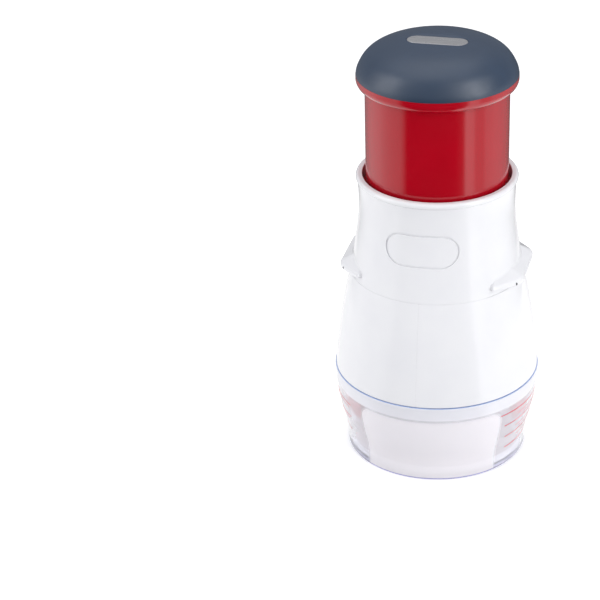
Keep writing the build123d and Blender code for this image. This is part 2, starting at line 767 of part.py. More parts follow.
with BuildPart() as wiper:
    with Locations((0, 0, centre_z)):
        Sphere(sphere_r)
        Sphere(sphere_r - wiper_skin, mode=Mode.SUBTRACT)
    split(bisect_by=Plane.XY.offset(wiper_z + wiper_flange), keep=Keep.BOTTOM)
    with BuildSketch(Plane.XY.offset(wiper_z)):
        Circle(wiper_r)
        Circle(wiper_dome_r - wiper_skin, mode=Mode.SUBTRACT)
    extrude(amount=wiper_flange)
    with BuildSketch(Plane.XY.offset(wiper_z - wiper_sag)):
        Circle(wiper_r)
    extrude(amount=wiper_sag + wiper_flange, mode=Mode.INTERSECT)
    add(wiper_channels.part)
    with BuildSketch(Plane.XY.offset(wiper_z - wiper_sag - overcut)):
        zigzag(blade_thickness + 2 * slot_gap)
    extrude(amount=channel_top - wiper_z + wiper_sag + 2 * overcut, mode=Mode.SUBTRACT)
finish(wiper, "wiper")

# ================================================================ blades and carrier
with BuildPart() as zigzag_blade:
    with BuildSketch(Plane.XY.offset(blade_low)):
        zigzag(blade_thickness)
    extrude(amount=carrier_bottom + blade_set - blade_low)
    chamfer(zigzag_blade.edges().group_by(Axis.Z)[0], blade_bevel)
finish(zigzag_blade, "zigzag_blade")

with BuildPart() as blade_carrier:
    with BuildSketch(Plane.XY.offset(carrier_bottom)):
        Circle(carrier_r)
    extrude(amount=carrier_thickness)
    fillet(blade_carrier.edges().group_by(Axis.Z)[-1], carrier_round)
    with BuildSketch(Plane.XY.offset(carrier_top)):
        Circle(carrier_boss_r)
    extrude(amount=carrier_boss_top - carrier_top)
    with BuildSketch(Plane.XY.offset(carrier_bottom)):
        zigzag(blade_thickness + 2 * fixed_gap)
    extrude(amount=blade_set + fixed_gap, mode=Mode.SUBTRACT)
    with BuildSketch(Plane.XY.offset(carrier_bottom)):
        Circle(shaft_screw_head_r + 2 * fixed_gap)
    extrude(amount=screw_head + fixed_gap, mode=Mode.SUBTRACT)
    with BuildSketch(Plane.XY.offset(carrier_bottom)):
        Rectangle(shaft_side + 2 * fixed_gap, shaft_side + 2 * fixed_gap)
    extrude(amount=carrier_boss_top - carrier_bottom, mode=Mode.SUBTRACT)
finish(blade_carrier, "blade_carrier")

with BuildPart() as bump_ring:
    with BuildSketch(Plane.XY.offset(carrier_top)):
        Circle(bump_r[1])
        Circle(bump_r[0], mode=Mode.SUBTRACT)
    extrude(amount=bump_height)
finish(bump_ring, "bump_ring")


# ================================================================ drive
def twisted_bar(side, low, high):
    """Square bar along Z whose sides keep to the shaft's helix."""
    with BuildSketch(Plane.XY.offset(low), mode=Mode.PRIVATE) as section:
        Rectangle(side, side, rotation=-twist_rate * (low - nut_bottom))
    return Solid.extrude_linear_with_rotation(
        section.sketch.faces()[0], (0, 0, low), (0, 0, high - low), -twist_rate * (high - low)
    )


shaft_twist = twisted_bar(shaft_side, nut_bottom, twist_top)
nut_bore = twisted_bar(shaft_side + 2 * nut_gap, nut_bottom - overcut, nut_bottom + nut_height + overcut)
shaft_low = carrier_bottom + screw_head + 2 * fixed_gap
shaft_top = core_z + turn_gap / 2

with BuildPart() as drive_shaft:
    add(shaft_twist)
    with BuildSketch(Plane.XY.offset(shaft_low)):
        Rectangle(shaft_side, shaft_side)
    extrude(amount=nut_bottom - shaft_low)
    with BuildSketch(Plane.XY.offset(twist_top)):
        Circle(collar_r)
    extrude(amount=collar_top - twist_top)
    with BuildSketch(Plane.XY.offset(collar_top)):
        Circle(journal_r)
    extrude(amount=shaft_top - collar_top)
    for face_z, depth in ((shaft_low, shaft_screw_length), (shaft_top, -shaft_screw_length)):
        with BuildSketch(Plane.XY.offset(face_z)):
            Circle(shaft_screw_r + fixed_gap)
        extrude(amount=depth, mode=Mode.SUBTRACT)
finish(drive_shaft, "drive_shaft")

with BuildPart() as carrier_screw:
    screws(shaft_low - fixed_gap, 1, shaft_screw_r, shaft_screw_length, shaft_screw_head_r, screw_head)
finish(carrier_screw, "carrier_screw")

with BuildPart() as thrust_ring:
    with BuildSketch(Plane.XY.offset(collar_top)):
        Circle(core_tube_r - thrust_step)
        Circle(journal_r + fixed_gap, mode=Mode.SUBTRACT)
    extrude(amount=thrust_washer)
finish(thrust_ring, "thrust_ring")

with BuildPart() as retaining_washer:
    with BuildSketch(Plane.XY.offset(shaft_top)):
        Circle(washer_r)
        Circle(shaft_screw_r + fixed_gap, mode=Mode.SUBTRACT)
    extrude(amount=washer)
finish(retaining_washer, "retaining_washer")

with BuildPart() as retaining_screw:
    screws(shaft_top + washer, -1, shaft_screw_r, shaft_screw_length, shaft_screw_head_r, screw_head)
finish(retaining_screw, "retaining_screw")

with BuildPart() as ratchet_ring:
    with BuildSketch(Plane.XY.offset(floor_top)):
        Circle(hub_bore_r - fixed_gap)
        saw = []
        for tooth in range(ratchet_teeth):
            for reach, share in ((ratchet_root_r, 0), (ratchet_tip_r, tooth_share)):
                angle = radians(360 * (tooth + share) / ratchet_teeth)
                saw.append((reach * cos(angle), reach * sin(angle)))
        with BuildLine():
            Polyline(*saw, close=True)
        make_face(mode=Mode.SUBTRACT)
    extrude(amount=ratchet_height)
finish(ratchet_ring, "ratchet_ring")

with BuildPart() as drive_nut:
    with BuildSketch(Plane.XY.offset(nut_bottom)):
        Circle(nut_r)
        for pawl in range(pawl_count):
            start = 360 * pawl / pawl_count
            edge, back = radians(start + pawl_start), radians(start + pawl_start + pawl_angle)
            with BuildLine():
                Polyline(
                    (0, 0),
                    (pawl_r * cos(edge), pawl_r * sin(edge)),
                    (nut_r * cos(back), nut_r * sin(back)),
                    close=True,
                )
            make_face()
            with Locations(Location((0, 0, 0), (0, 0, start))):
                with Locations(pawl_slit_at):
                    Rectangle(pawl_slit[1], pawl_slit[0], rotation=pawl_slit_tilt, mode=Mode.SUBTRACT)
    extrude(amount=nut_height)
    add(nut_bore, mode=Mode.SUBTRACT)
finish(drive_nut, "drive_nut")

with BuildPart() as hub_cover:
    with BuildSketch(Plane.XY.offset(floor_top + ratchet_height)):
        Circle(hub_bore_r - fixed_gap)
    extrude(amount=cover_plug)
    with BuildSketch(Plane.XY.offset(cover_z)):
        Circle(hub_bore_r + hub_wall)
    extrude(amount=cover_plate)
    fillet(hub_cover.edges().group_by(Axis.Z)[-1], cover_round)
    with BuildSketch(Plane.XY.offset(floor_top + ratchet_height)):
        Circle(shaft_hole_r)
    extrude(amount=cover_plug + cover_plate, mode=Mode.SUBTRACT)
finish(hub_cover, "hub_cover")

with BuildPart() as return_spring:
    spring_low = floor_top + spring_wire_r + fixed_gap
    spring_high = core_bottom - spring_wire_r - fixed_gap
    with BuildLine():
        coil = Helix((spring_high - spring_low) / spring_turns, spring_high - spring_low, spring_r)
    with BuildSketch(Plane(origin=coil @ 0, z_dir=coil % 0)):
        Circle(spring_wire_r)
    sweep(is_frenet=True)
return_spring.part.position = (0, 0, spring_low)
finish(return_spring, "return_spring")

# ================================================================ plunger
with BuildPart() as plunger_sleeve:
    with BuildSketch(Plane.XZ):
        with BuildLine():
            Polyline(
                (sleeve_r - sleeve_wall, sleeve_bottom),
                (bead_r, sleeve_bottom),
                (bead_r, sleeve_bottom + bead_height),
                (sleeve_r, sleeve_bottom + bead_height + bead_blend),
                (sleeve_r, flange_z),
                (flange_r - flange_corner[0], flange_z + flange_corner[1]),
            )
            ThreePointArc(
                (flange_r - flange_corner[0], flange_z + flange_corner[1]),
                (flange_r - flange_curve[0], flange_z + flange_curve[1]),
                (flange_r, flange_z + flange_shoulder),
            )
            Polyline(
                (flange_r, flange_z + flange_shoulder),
                (flange_r, knob_seam_z),
                (flange_r - flange_wall, knob_seam_z),
                (flange_r - flange_wall, core_z + ledge_thickness),
                (ledge_r, core_z + ledge_thickness),
                (ledge_r, core_z),
                (sleeve_r - sleeve_wall, core_z),
                (sleeve_r - sleeve_wall, sleeve_bottom),
            )
        make_face()
    revolve(axis=Axis.Z)
    with BuildSketch(Plane.XY.offset(sleeve_bottom)):
        with PolarLocations(bore_r, diagonal_count, start_angle=diagonal):
            Rectangle(2 * (rib_height + move_gap), rib_width + 2 * move_gap)
    extrude(amount=bead_height + bead_blend, mode=Mode.SUBTRACT)
finish(plunger_sleeve, "plunger_sleeve")

with BuildPart() as knob_core:
    with BuildSketch(Plane.XY.offset(core_bottom)):
        Circle(sleeve_r - sleeve_wall - fixed_gap)
    extrude(amount=core_disc)
    with BuildSketch(Plane.XY.offset(core_tube_bottom)):
        Circle(core_tube_r)
    extrude(amount=core_bottom - core_tube_bottom)
    with BuildSketch(Plane.XY.offset(core_tube_bottom)):
        Circle(bush_r + fixed_gap)
    extrude(amount=core_z - core_tube_bottom, mode=Mode.SUBTRACT)
    with BuildSketch(Plane.XY.offset(core_bottom)):
        with PolarLocations(core_screw_circle_r, core_screw_count, start_angle=core_screw_start):
            Circle(screw_r + fixed_gap)
    extrude(amount=core_disc, mode=Mode.SUBTRACT)
finish(knob_core, "knob_core")

with BuildPart() as shaft_bushes:
    for low in (core_tube_bottom, core_z - bush_length):
        with BuildSketch(Plane.XY.offset(low)):
            Circle(bush_r)
            Circle(journal_r + bearing_gap, mode=Mode.SUBTRACT)
        extrude(amount=bush_length)
finish(shaft_bushes, "shaft_bushes")

outer_dome = dome_section(knob_r, knob_rise)
inner_dome = dome_section(knob_r - knob_wall, knob_rise - knob_wall)
boss_dome = dome_section(knob_r - knob_wall / 2, knob_rise - knob_wall / 2)

with BuildPart() as boss_space:
    revolve(boss_dome, axis=Axis.Z)
    with BuildSketch(Plane.XY.offset(core_z)):
        Circle(ledge_r)
    extrude(amount=knob_seam_z - core_z)

with BuildPart() as cap_bosses:
    with BuildSketch(Plane.XY.offset(core_z)):
        with PolarLocations(core_screw_circle_r, core_screw_count, start_angle=core_screw_start):
            Circle(core_boss_r)
    extrude(amount=knob_rise)
    add(boss_space.part, mode=Mode.INTERSECT)

with BuildPart() as knob_cap:
    revolve(outer_dome, axis=Axis.Z)
    revolve(inner_dome, axis=Axis.Z, mode=Mode.SUBTRACT)
    add(cap_bosses.part)
    with BuildSketch(Plane.XY.offset(core_z)):
        with PolarLocations(core_screw_circle_r, core_screw_count, start_angle=core_screw_start):
            Circle(screw_r + fixed_gap)
    extrude(amount=screw_length - core_disc + fixed_gap, mode=Mode.SUBTRACT)
    with BuildSketch(Plane.XY.offset(inlay_z - inlay_thickness)):
        SlotOverall(inlay_length, inlay_width)
    extrude(amount=inlay_thickness, mode=Mode.SUBTRACT)
    with BuildSketch(Plane.XY.offset(inlay_z)):
        SlotOverall(inlay_length, inlay_width)
    extrude(amount=2 * inlay_sink, taper=-dish_draft, mode=Mode.SUBTRACT)
finish(knob_cap, "knob_cap")

with BuildPart() as knob_inlay:
    with BuildSketch(Plane.XY.offset(inlay_z - inlay_thickness)):
        SlotOverall(inlay_length - 2 * fixed_gap, inlay_width - 2 * fixed_gap)
    extrude(amount=inlay_thickness)
    chamfer(knob_inlay.edges().group_by(Axis.Z)[-1], inlay_bevel)
finish(knob_inlay, "knob_inlay")

with BuildPart() as core_screws:
    with PolarLocations(core_screw_circle_r, core_screw_count, start_angle=core_screw_start):
        screws(core_bottom, 1, screw_r, screw_length, screw_head_r, screw_head)
finish(core_screws, "core_screws")
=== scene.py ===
"""Visual model of the plunger food chopper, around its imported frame.

Lengths are in metres.  The front is -Y and up is +Z.  Directions round the axis are measured from the
front, towards +X, in radians unless a comment says degrees.
"""
import json
import math

import bpy
import bmesh
from mathutils import Matrix, Vector


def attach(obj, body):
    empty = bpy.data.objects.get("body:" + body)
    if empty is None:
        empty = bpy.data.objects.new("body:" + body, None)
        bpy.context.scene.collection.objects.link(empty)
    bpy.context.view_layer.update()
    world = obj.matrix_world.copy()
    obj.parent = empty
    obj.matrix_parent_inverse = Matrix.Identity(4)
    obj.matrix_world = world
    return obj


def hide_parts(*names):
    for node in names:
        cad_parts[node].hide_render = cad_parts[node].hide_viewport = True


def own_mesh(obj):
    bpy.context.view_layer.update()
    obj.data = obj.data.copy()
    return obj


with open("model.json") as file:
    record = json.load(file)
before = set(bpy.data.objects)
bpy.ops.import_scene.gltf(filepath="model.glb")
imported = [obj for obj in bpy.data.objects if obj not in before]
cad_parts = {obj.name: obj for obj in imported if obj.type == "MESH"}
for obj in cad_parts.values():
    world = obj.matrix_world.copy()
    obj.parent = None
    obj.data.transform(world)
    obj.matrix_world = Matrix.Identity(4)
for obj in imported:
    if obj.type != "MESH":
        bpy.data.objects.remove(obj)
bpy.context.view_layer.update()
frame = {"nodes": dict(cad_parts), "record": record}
nodes = frame["nodes"]


# ------------------------------------------------------------------ node helpers
class Nodes:
    """Short hand for building one node tree, of a material or of the world."""

    def __init__(self, tree, output="ShaderNodeOutputMaterial"):
        self.tree = tree
        tree.nodes.clear()
        self.out = tree.nodes.new(output)

    def new(self, kind, **settings):
        node = self.tree.nodes.new(kind)
        for key, value in settings.items():
            setattr(node, key, value)
        return node

    def put(self, socket, value):
        """Link a socket, or set its value."""
        if isinstance(value, bpy.types.NodeSocket):
            self.tree.links.new(value, socket)
        else:
            socket.default_value = value

    def maths(self, operation, *values):
        node = self.new("ShaderNodeMath", operation=operation)
        for socket, value in zip(node.inputs, values):
            self.put(socket, value)
        return node.outputs[0]

    def mix(self, share, low, high):
        """Colour between two others."""
        node = self.new("ShaderNodeMix", data_type="RGBA")
        self.put(node.inputs[0], share)
        self.put(node.inputs[6], low)
        self.put(node.inputs[7], high)
        return node.outputs[2]

    def blend(self, share, low, high):
        """Number between two others."""
        node = self.new("ShaderNodeMix", data_type="FLOAT")
        self.put(node.inputs[0], share)
        self.put(node.inputs[2], low)
        self.put(node.inputs[3], high)
        return node.outputs[0]

    def span(self, value, low, high, out_low=0.0, out_high=1.0, smooth=False):
        """Value taken from one range to another, and held at its ends."""
        kind = "SMOOTHSTEP" if smooth else "LINEAR"
        node = self.new("ShaderNodeMapRange", interpolation_type=kind)
        for socket, item in zip(node.inputs, (value, low, high, out_low, out_high)):
            self.put(socket, item)
        return node.outputs[0]

    def split(self, vector):
        node = self.new("ShaderNodeSeparateXYZ")
        self.put(node.inputs[0], vector)
        return node.outputs

    def length(self, one, two):
        """Length of a vector with these two parts."""
        squares = [self.maths("MULTIPLY", part, part) for part in (one, two)]
        return self.maths("SQRT", self.maths("ADD", *squares))

    def turn(self, x, y):
        """Direction seen from above."""
        return self.maths("ARCTAN2", x, self.maths("MULTIPLY", y, -1.0))

    def around(self, turn, stops, scale):
        """Value by the direction seen from above, from stops of direction and value, over a scale."""
        node = self.new("ShaderNodeValToRGB")
        self.put(node.inputs[0], self.span(turn, -math.pi, math.pi))
        ramp = node.color_ramp
        while len(ramp.elements) < len(stops):
            ramp.elements.new(0.5)
        for element, (angle, value) in zip(ramp.elements, stops):
            element.position = (angle + math.pi) / (2 * math.pi)
            element.color = (*[value / scale] * 3, 1.0)
        return node.outputs[0]

    def place(self):
        """Position on the object in its own frame, which moves with the piece."""
        return self.new("ShaderNodeTexCoord").outputs["Object"]

    def stretch(self, vector, scale):
        node = self.new("ShaderNodeMapping")
        self.put(node.inputs["Vector"], vector)
        node.inputs["Scale"].default_value = scale
        return node.outputs[0]

    def noise(self, vector, scale, detail=3.0, roughness=0.5):
        node = self.new("ShaderNodeTexNoise")
        self.put(node.inputs["Vector"], vector)
        node.inputs["Scale"].default_value = scale
        node.inputs["Detail"].default_value = detail
        node.inputs["Roughness"].default_value = roughness
        return node.outputs["Fac"]

    def bump(self, height, strength, distance):
        node = self.new("ShaderNodeBump")
        node.inputs["Strength"].default_value = strength
        node.inputs["Distance"].default_value = distance
        self.put(node.inputs["Height"], height)
        return node.outputs[0]

    def shader(self, **inputs):
        node = self.new("ShaderNodeBsdfPrincipled")
        for key, value in inputs.items():
            self.put(node.inputs[key.replace("_", " ")], value)
        return node.outputs[0]

    def glow(self, strength, kind="ShaderNodeEmission", colour=(1.0, 1.0, 1.0, 1.0)):
        node = self.new(kind)
        node.inputs["Color"].default_value = colour
        self.put(node.inputs["Strength"], strength)
        return node.outputs[0]

    def pick(self, share, one, two):
        """One shader or the other."""
        node = self.new("ShaderNodeMixShader")
        for socket, value in zip(node.inputs, (share, one, two)):
            self.put(socket, value)
        return node.outputs[0]

    def ray(self, kind):
        return self.new("ShaderNodeLightPath").outputs[f"Is {kind} Ray"]

    def finish(self, shader):
        self.put(self.out.inputs[0], shader)


def new_material(name):
    mat = bpy.data.materials.new(name)
    mat.use_nodes = True
    return mat, Nodes(mat.node_tree)


def rgb(red, green, blue):
    """Display colour, 0 to 255, as the linear colour that a shader takes."""
    linear = []
    for value in (red, green, blue):
        value /= 255
        linear.append(value / 12.92 if value <= 0.04045 else ((value + 0.055) / 1.055) ** 2.4)
    return (*linear, 1.0)


# ------------------------------------------------------------------ plain materials
# noise scale and detail, and the part of the noise's range that is used
CLOUD, CLOUD_RANGE = (60, 4), (0.3, 0.7)
SMEAR, SMEAR_RANGE, SMEAR_SHARE = (35, 3), (0.35, 0.65), (0.85, 1.15)
SKIN = (3, 0.6)
SKIN_BUMP = 0.5
LINES_NOISE, LINES_RANGE, LINES_SHARE = (1.0, 5, 0.65), (0.3, 0.7), (0.75, 1.3)
LINES_BUMP = 0.4


def moulded(name, colour, shade, rough, grain, depth, coat=0.0, coat_rough=0.05, specular=0.5):
    """Moulded plastic or rubber: a faint cloudiness in its colour, and a fine skin on its surface."""
    mat, n = new_material(name)
    at = n.place()
    cloud = n.span(n.noise(at, *CLOUD), *CLOUD_RANGE)
    smear = n.span(n.noise(at, *SMEAR), *SMEAR_RANGE, *[rough * share for share in SMEAR_SHARE])
    n.finish(n.shader(
        Base_Color=n.mix(cloud, rgb(*colour), rgb(*shade)),
        Roughness=smear,
        Specular_IOR_Level=specular,
        Coat_Weight=coat,
        Coat_Roughness=coat_rough,
        Normal=n.bump(n.noise(at, grain, *SKIN), SKIN_BUMP, depth),
    ))
    return mat


def brushed(name, colour, shade, rough, scale, depth):
    """Drawn or brushed metal, with fine lines where the scale is high."""
    mat, n = new_material(name)
    lines = n.noise(n.stretch(n.place(), scale), *LINES_NOISE)
    n.finish(n.shader(
        Base_Color=n.mix(n.span(lines, *LINES_RANGE), rgb(*colour), rgb(*shade)),
        Metallic=1.0,
        Roughness=n.span(lines, *LINES_RANGE, *[rough * share for share in LINES_SHARE]),
        Normal=n.bump(lines, LINES_BUMP, depth),
    ))
    return mat


# ------------------------------------------------------------------ clear cup
FROST_MIDDLE = 0.128             # direction of the middle of the frosted front
FROST_SIDE = 0.757               # half of its width
FROST_TOP = 0.0372               # its upper edge, and the radius of its upper corners
FROST_ROUND = 0.006
FROST_FADE = 0.0012              # half the width over which it fades out
FROST_WALL = (0.0448, 0.0452)    # radii between which it starts, so that only the outer wall has it
# how much light passes: the frosted front, the clear sides, and the band above the ledge
FROST_CLEAR = 0.12
HAZE_CLEAR = 0.66
HAZE_RIM = 0.2
# heights over which the look changes: at the ledge, and at the foot's edge and the rim's, where lines of
# painted edge glow lie
LEDGE = (0.0376, 0.0386)
FOOT_GLOW_BAND = (0.0008, 0.0016)
RIM_GLOW_BAND = (0.04516, 0.04536)
CLEAR_BODY, FROST_BODY = rgb(250, 250, 255), rgb(254, 251, 255)
# painted edge glow: violet along the foot's edge and blue along the rim's top, standing in for the light that
# the clear edges catch
FOOT_EDGE_GLOW, RIM_EDGE_GLOW = rgb(178, 176, 232), rgb(176, 198, 244)
CLEAR_ROUGH, FROST_ROUGH = 0.02, 0.5
PLASTIC_IOR = 1.5
FLOW_NOISE, GRAIN_NOISE = (90, 2), (2600, 2)
CUP_BUMP, CUP_BUMP_DEPTH = 0.25, 0.00004
CUP_SHADOW = (0.97, 0.97, 0.99, 1.0)


def clear_cup_material():
    """Clear plastic with a frosted window in front, rounded at its upper corners, and lines of painted edge
    glow at the foot and the rim.
    """
    mat, n = new_material("clear_plastic_look")
    at = n.place()
    x, y, z = n.split(at)
    radius = n.length(x, y)
    off_middle = n.maths("ABSOLUTE", n.maths("SUBTRACT", n.turn(x, y), FROST_MIDDLE))
    side = n.maths("MULTIPLY", n.maths("SUBTRACT", off_middle, FROST_SIDE), radius)
    over_side = n.maths("MAXIMUM", n.maths("ADD", side, FROST_ROUND), 0.0)
    over_top = n.maths("MAXIMUM", n.maths("SUBTRACT", z, FROST_TOP - FROST_ROUND), 0.0)
    corner = n.length(over_side, over_top)
    window = n.span(corner, FROST_ROUND - FROST_FADE, FROST_ROUND + FROST_FADE, 1.0, 0.0)
    frost = n.maths("MULTIPLY", window, n.span(radius, *FROST_WALL))
    grain = n.mix(frost, n.noise(at, *FLOW_NOISE), n.noise(at, *GRAIN_NOISE))
    body = n.mix(frost, CLEAR_BODY, FROST_BODY)
    # painted edge glow: a violet line at the foot's edge here, and a blue one at the rim's top in the base
    # colour below
    foot = n.mix(n.span(z, *FOOT_GLOW_BAND), FOOT_EDGE_GLOW, body)
    clear = n.span(z, *LEDGE, HAZE_CLEAR, HAZE_RIM)
    glass = n.shader(
        Base_Color=n.mix(n.span(z, *RIM_GLOW_BAND), foot, RIM_EDGE_GLOW),
        Roughness=n.span(frost, 0.0, 1.0, CLEAR_ROUGH, FROST_ROUGH),
        IOR=PLASTIC_IOR,
        Transmission_Weight=n.span(frost, 0.0, 1.0, clear, FROST_CLEAR),
        Normal=n.bump(grain, CUP_BUMP, CUP_BUMP_DEPTH),
    )
    # light falls through the wall onto what is inside
    free = n.new("ShaderNodeBsdfTransparent")
    free.inputs["Color"].default_value = CUP_SHADOW
    n.finish(n.pick(n.ray("Shadow"), glass, free.outputs[0]))
    return mat


# ------------------------------------------------------------------ looks of the slots
# colour, shade, roughness, scale of the grain, its depth, and what else the shader gets
MOULDED = {
    "disc_plastic": ((250, 250, 252), (245, 245, 248), 0.5, 1800, 0.00006, {}),
    "white_gloss": ((246, 246, 248), (243, 243, 246), 0.16, 260, 0.000012, {"coat": 0.3, "coat_rough": 0.04}),
    "white_inner": ((246, 246, 248), (242, 242, 245), 0.34, 700, 0.00003, {}),
    "red_gloss": ((182, 0, 26), (176, 0, 24), 0.14, 240, 0.000012, {"coat": 0.5}),
    "red_wiper": ((214, 12, 48), (205, 10, 43), 0.25, 300, 0.00002, {"coat": 0.2}),
    "knob_soft": ((36, 58, 84), (33, 55, 80), 0.42, 3200, 0.00005, {"specular": 0.95}),
    "grey_acetal": ((222, 223, 226), (214, 215, 219), 0.38, 900, 0.00003, {}),
    "bump_rubber": ((52, 52, 54), (46, 46, 48), 0.7, 1500, 0.00005, {}),
}
# colour, shade, roughness, scale of the lines along x, y and z, and their depth
BRUSHED = {
    "inlay_steel": ((252, 252, 253), (186, 186, 190), 0.32, (90, 2400, 2400), 0.00002),
    "blade_steel": ((228, 229, 232), (214, 215, 218), 0.30, (1500, 1500, 60), 0.00001),
    "shaft_steel": ((196, 197, 200), (182, 183, 186), 0.28, (2500, 2500, 80), 0.00001),
    "spring_steel": ((184, 185, 188), (164, 165, 168), 0.3, (900, 900, 900), 0.00001),
    "pin_steel": ((150, 151, 154), (132, 133, 137), 0.34, (1200, 1200, 1200), 0.00001),
}
LOOKS = {"clear_plastic": clear_cup_material()}
for slot, (*values, extra) in MOULDED.items():
    LOOKS[slot] = moulded(f"{slot}_look", *values, **extra)
for slot, values in BRUSHED.items():
    LOOKS[slot] = brushed(f"{slot}_look", *values)

for item in frame["record"]["subparts"]:
    for material_slot in nodes[item["node"]].material_slots:
        material_slot.material = LOOKS[item["material_slot"]]


# ------------------------------------------------------------------ mesh helpers
SHARP_ANGLE = math.radians(40)


def on_circle(radius, turn, height):
    return (radius * math.sin(turn), -radius * math.cos(turn), height)


def sweep(bm, rings):
    """Closed solid through rings of points, capped at both ends."""
    rings = [[bm.verts.new(point) for point in ring] for ring in rings]
    count = len(rings[0])
    for one, two in zip(rings, rings[1:]):
        for k in range(count):
            m = (k + 1) % count
            bm.faces.new((one[k], one[m], two[m], two[k]))
    bm.faces.new(rings[0])
    bm.faces.new(tuple(reversed(rings[-1])))


def new_piece(name, bm, slot, body, smooth=False):
    """One more piece of the visual model, made from a bmesh."""
    bmesh.ops.recalc_face_normals(bm, faces=bm.faces)
    mesh = bpy.data.meshes.new(name)
    bm.to_mesh(mesh)
    bm.free()
    if smooth:
        mesh.polygons.foreach_set("use_smooth", [True] * len(mesh.polygons))
        mesh.set_sharp_from_angle(angle=SHARP_ANGLE)
    return add_piece(name, mesh, slot, body)


def add_piece(name, mesh, slot, body, place=Matrix()):
    """An object for a mesh, in the finish of a slot, that rides on a body."""
    piece = bpy.data.objects.new(name, mesh)
    bpy.context.scene.collection.objects.link(piece)
    piece.matrix_world = place
    mesh.materials.append(LOOKS[slot])
    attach(piece, body)
    return piece


# ------------------------------------------------------------------ graduations
# the cup's outside, as two arcs through three points of radius and height, above a straight foot
CUP_WALL = (
    ((0.0462, 0.008), (0.04695, 0.0132), (0.0484, 0.0186)),
    ((0.0484, 0.0186), (0.0510, 0.0310), (0.0523, 0.0454)),
)
LINE_OUT = 0.00004               # how far a line stands out of the wall, and goes into it
LINE_IN = 0.00003
LINE_STEP = 2                    # degrees
LINE_STEPS_LEAST = 6
# height, first and last direction in degrees, width
LINES = (
    (0.0342, 50.6, 104, 0.00050), (0.0267, 54.7, 104, 0.00050), (0.0188, 57.0, 100, 0.00050),
    (0.0109, 59.7, 98, 0.00050), (0.0305, 66.0, 104, 0.00022), (0.0285, 70.0, 104, 0.00022),
    (0.0228, 66.0, 100, 0.00022), (0.0208, 70.0, 100, 0.00022), (0.0150, 70.0, 96, 0.00022),
    (0.0325, -47.5, -100, 0.00045), (0.0303, -50.5, -100, 0.00030), (0.0241, -50.0, -100, 0.00045),
    (0.0219, -53.0, -98, 0.00030), (0.0129, -56.7, -96, 0.00040),
)


def cup_radius(height):
    """Radius of the cup's outside at a height, on the circle through its arc's three points."""
    if height <= CUP_WALL[0][0][1]:
        return CUP_WALL[0][0][0]
    (ax, ay), (bx, by), (cx, cy) = CUP_WALL[0] if height <= CUP_WALL[0][2][1] else CUP_WALL[1]
    twice = 2 * (ax * (by - cy) + bx * (cy - ay) + cx * (ay - by))
    a2, b2, c2 = ax * ax + ay * ay, bx * bx + by * by, cx * cx + cy * cy
    mid_x = (a2 * (by - cy) + b2 * (cy - ay) + c2 * (ay - by)) / twice
    mid_y = (a2 * (cx - bx) + b2 * (ax - cx) + c2 * (bx - ax)) / twice
    reach = math.hypot(ax - mid_x, ay - mid_y)
    return mid_x + math.copysign(math.sqrt(reach**2 - (height - mid_y) ** 2), ax - mid_x)


def graduations():
    """Fine raised lines on the cup's clear sides."""
    bm = bmesh.new()
    for height, first, last, width in LINES:
        steps = max(LINE_STEPS_LEAST, round(abs(last - first) / LINE_STEP))
        low, high = height - width / 2, height + width / 2
        outline = [
            (cup_radius(level) + out, level)
            for out, level in ((-LINE_IN, low), (LINE_OUT, low), (LINE_OUT, high), (-LINE_IN, high))
        ]
        turns = [math.radians(first + (last - first) * step / steps) for step in range(steps + 1)]
        sweep(bm, [[on_circle(radius, turn, level) for radius, level in outline] for turn in turns])
    new_piece("graduations", bm, "red_wiper", "cup")


graduations()


# ------------------------------------------------------------------ wiper
# two side walls hang from the wiper's edge, between the blades and the cup; radius and height
WALL = (
    (0.0438, 0.0406), (0.0438, 0.0368), (0.0452, 0.0362), (0.0459, 0.0350), (0.0462, 0.0320),
    (0.0461, 0.0280), (0.0456, 0.0254), (0.0446, 0.0246), (0.0439, 0.0252), (0.0443, 0.0280),
    (0.0446, 0.0320), (0.0444, 0.0344), (0.0438, 0.0352), (0.0426, 0.0356), (0.0426, 0.0406),
)
WALL_TOP = 0.0368                # what lies below this gets shorter at the ends
WALL_MIDDLE = math.radians(102)  # direction of one wall; the other is opposite
WALL_SIDE = math.radians(36)     # half the length of a wall, and of its rounded corners
WALL_ROUND = math.radians(5)
WALL_STEPS = 44
WALL_END = 0.3                   # share of its height that a wall keeps at its very ends


def wiper_walls():
    """Two solid curved walls, with rounded lower corners."""
    bm = bmesh.new()
    for middle in (WALL_MIDDLE, WALL_MIDDLE - math.pi):
        rings = []
        for step in range(WALL_STEPS + 1):
            # cosine steps are finest at the ends, where the corners are
            off = -WALL_SIDE * math.cos(math.pi * step / WALL_STEPS)
            into = max(0.0, abs(off) - WALL_SIDE + WALL_ROUND) / WALL_ROUND
            share = WALL_END + (1 - WALL_END) * math.sqrt(max(0.0, 1 - into * into))
            ring = []
            for radius, height in WALL:
                below = max(0.0, WALL_TOP - height)
                ring.append(on_circle(radius, middle + off, height + below * (1 - share)))
            rings.append(ring)
        sweep(bm, rings)
    new_piece("wiper_walls", bm, "red_wiper", "wiper", smooth=True)


wiper_walls()


# ------------------------------------------------------------------ floors of the fine grooves
# the two shells' outside: radius and height of its foot and its top, and how far the arc bulges
SHELL_FOOT = (0.05175, 0.0459)
SHELL_TOP = (0.0436, 0.0997)
SHELL_BULGE = 0.00107
SEAM_HALF = 0.00009              # half the width of the groove's floor
SEAM_FLOOR = (0.00005, 0.0010)   # depths of its two faces
SEAM_START, SEAM_RUN, SEAM_STEPS = 0.004, 0.99, 24
# the level groove under the housing: heights, radii, and how far it goes to each side in degrees
GROOVE_Z = (0.09951, 0.09969)
GROOVE_R = (0.0426, 0.04346)
GROOVE_REACH = 47
GROOVE_STEPS = 48


